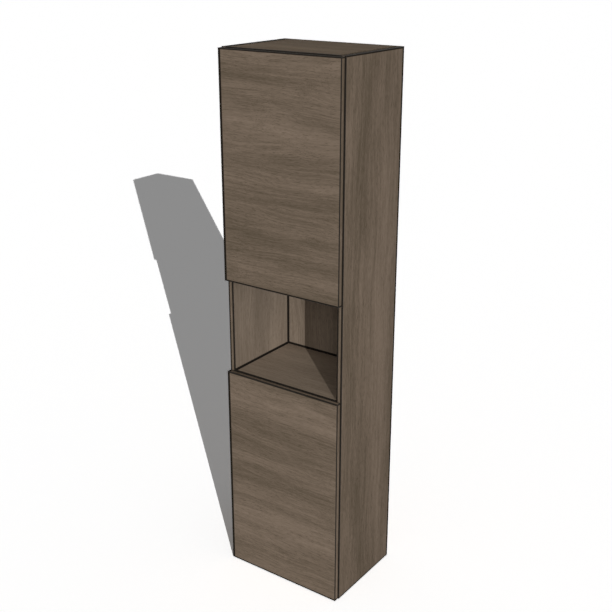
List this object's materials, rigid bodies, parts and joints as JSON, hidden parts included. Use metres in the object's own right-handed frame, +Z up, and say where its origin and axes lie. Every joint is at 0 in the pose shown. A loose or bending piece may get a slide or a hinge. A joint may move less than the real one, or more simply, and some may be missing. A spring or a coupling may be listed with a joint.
{
  "type": "bathroom cabinet",
  "caption": "Tall handleless bathroom column cabinet in grey-brown wood decor: hinged overlay doors above and below an open niche, with push latches and a wall rail.",
  "frame": {"origin": "on the floor plane, under the middle of the cabinet's outer box", "axes": "+X to the right for someone facing the doors, +Y to the rear and the wall, +Z up"},
  "size_m": [0.4, 0.3, 1.6],
  "materials": {
    "wood_decor": "melamine-faced particle board, grey-brown wood grain, satin",
    "edge_band": "edge strip in the same grey-brown wood decor, dark arrises",
    "nickel_steel": "nickel-plated pressed steel",
    "zinc": "zinc die casting, bare",
    "grey_plastic": "moulded grey plastic",
    "beech": "fluted beech dowel"
  },
  "bodies": {
    "carcass": {"back_panel": "wood_decor", "bottom_panel": "wood_decor", "cam_bolts": "nickel_steel", "cam_locks": "zinc", "carcass_edge_bands": "edge_band", "dowels": "beech", "euro_screws": "nickel_steel", "hanger_adjusters": "zinc", "hanger_body_left": "zinc", "hanger_body_right": "zinc", "hanger_hook_left": "nickel_steel", "hanger_hook_right": "nickel_steel", "hinge_arm_screws": "nickel_steel", "lower_hinge_high_arm": "nickel_steel", "lower_hinge_high_plate": "nickel_steel", "lower_hinge_low_arm": "nickel_steel", "lower_hinge_low_plate": "nickel_steel", "lower_latch_housing": "grey_plastic", "lower_latch_spring": "nickel_steel", "lower_shelf": "wood_decor", "niche_ceiling_panel": "wood_decor", "niche_floor_panel": "wood_decor", "shelf_pins": "nickel_steel", "side_panel_left": "wood_decor", "side_panel_right": "wood_decor", "top_panel": "wood_decor", "upper_hinge_high_arm": "nickel_steel", "upper_hinge_high_plate": "nickel_steel", "upper_hinge_low_arm": "nickel_steel", "upper_hinge_low_plate": "nickel_steel", "upper_latch_housing": "grey_plastic", "upper_latch_spring": "nickel_steel", "upper_shelf_high": "wood_decor", "upper_shelf_low": "wood_decor", "wall_rail": "nickel_steel"},
    "upper_door": {"upper_cup_screws": "nickel_steel", "upper_door": "wood_decor", "upper_door_edge_bands": "edge_band", "upper_hinge_high_cup": "nickel_steel", "upper_hinge_high_pin": "nickel_steel", "upper_hinge_low_cup": "nickel_steel", "upper_hinge_low_pin": "nickel_steel", "upper_latch_strike": "nickel_steel"},
    "lower_door": {"lower_cup_screws": "nickel_steel", "lower_door": "wood_decor", "lower_door_edge_bands": "edge_band", "lower_hinge_high_cup": "nickel_steel", "lower_hinge_high_pin": "nickel_steel", "lower_hinge_low_cup": "nickel_steel", "lower_hinge_low_pin": "nickel_steel", "lower_latch_strike": "nickel_steel"},
    "upper_plunger": {"upper_latch_plunger": "grey_plastic"},
    "lower_plunger": {"lower_latch_plunger": "grey_plastic"}
  },
  "joints": [
    {"name": "upper_door_hinge", "type": "hinge", "parent": "carcass", "child": "upper_door", "pos_m": [-0.1909, -0.1434, 1.2705], "axis": [0, 0, -1], "range_deg": [0, 95]},
    {"name": "upper_latch_push", "type": "slide", "parent": "carcass", "child": "upper_plunger", "axis": [0, -1, 0], "range_m": [0, 0.03], "deforming": ["upper_latch_spring"]},
    {"name": "lower_door_hinge", "type": "hinge", "parent": "carcass", "child": "lower_door", "pos_m": [-0.1909, -0.1434, 0.3295], "axis": [0, 0, -1], "range_deg": [0, 95]},
    {"name": "lower_latch_push", "type": "slide", "parent": "carcass", "child": "lower_plunger", "axis": [0, -1, 0], "range_m": [0, 0.03], "deforming": ["lower_latch_spring"]}
  ],
  "couplings": [
    {"joint": "upper_latch_push", "follows": "upper_door_hinge", "m_per_rad": 0.018},
    {"joint": "lower_latch_push", "follows": "lower_door_hinge", "m_per_rad": 0.018}
  ]
}
